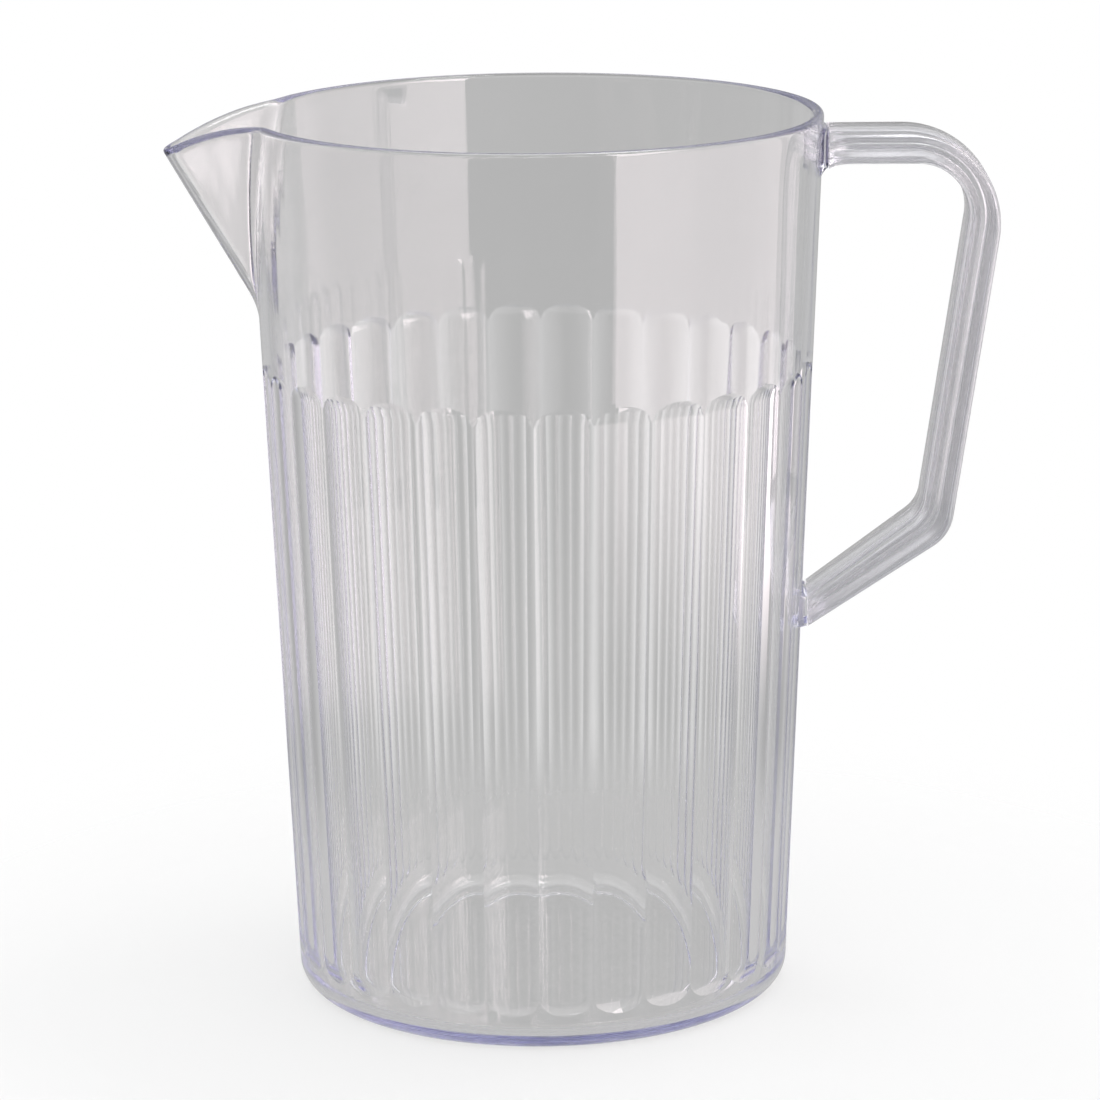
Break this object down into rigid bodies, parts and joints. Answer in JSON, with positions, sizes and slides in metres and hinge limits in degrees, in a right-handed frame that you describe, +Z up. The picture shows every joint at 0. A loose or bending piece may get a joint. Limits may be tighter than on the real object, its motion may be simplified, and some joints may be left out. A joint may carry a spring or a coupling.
{
  "type": "plastic jug",
  "caption": "Clear plastic serving jug with a tapered fluted body, a wedge-shaped pouring spout and a grooved bar handle.",
  "frame": {"origin": "middle of the footprint's bounding box, on the table that the jug stands on", "axes": "+Z up along the jug's axis, +X from the jug towards its handle, -X towards the spout, +Y across the jug"},
  "size_m": [0.1898, 0.1308, 0.205],
  "materials": {
    "clear_body": "clear, polished gloss",
    "clear_handle": "clear, polished gloss"
  },
  "bodies": {
    "root": {"jug_body": "clear_body", "handle": "clear_handle"}
  },
  "joints": []
}
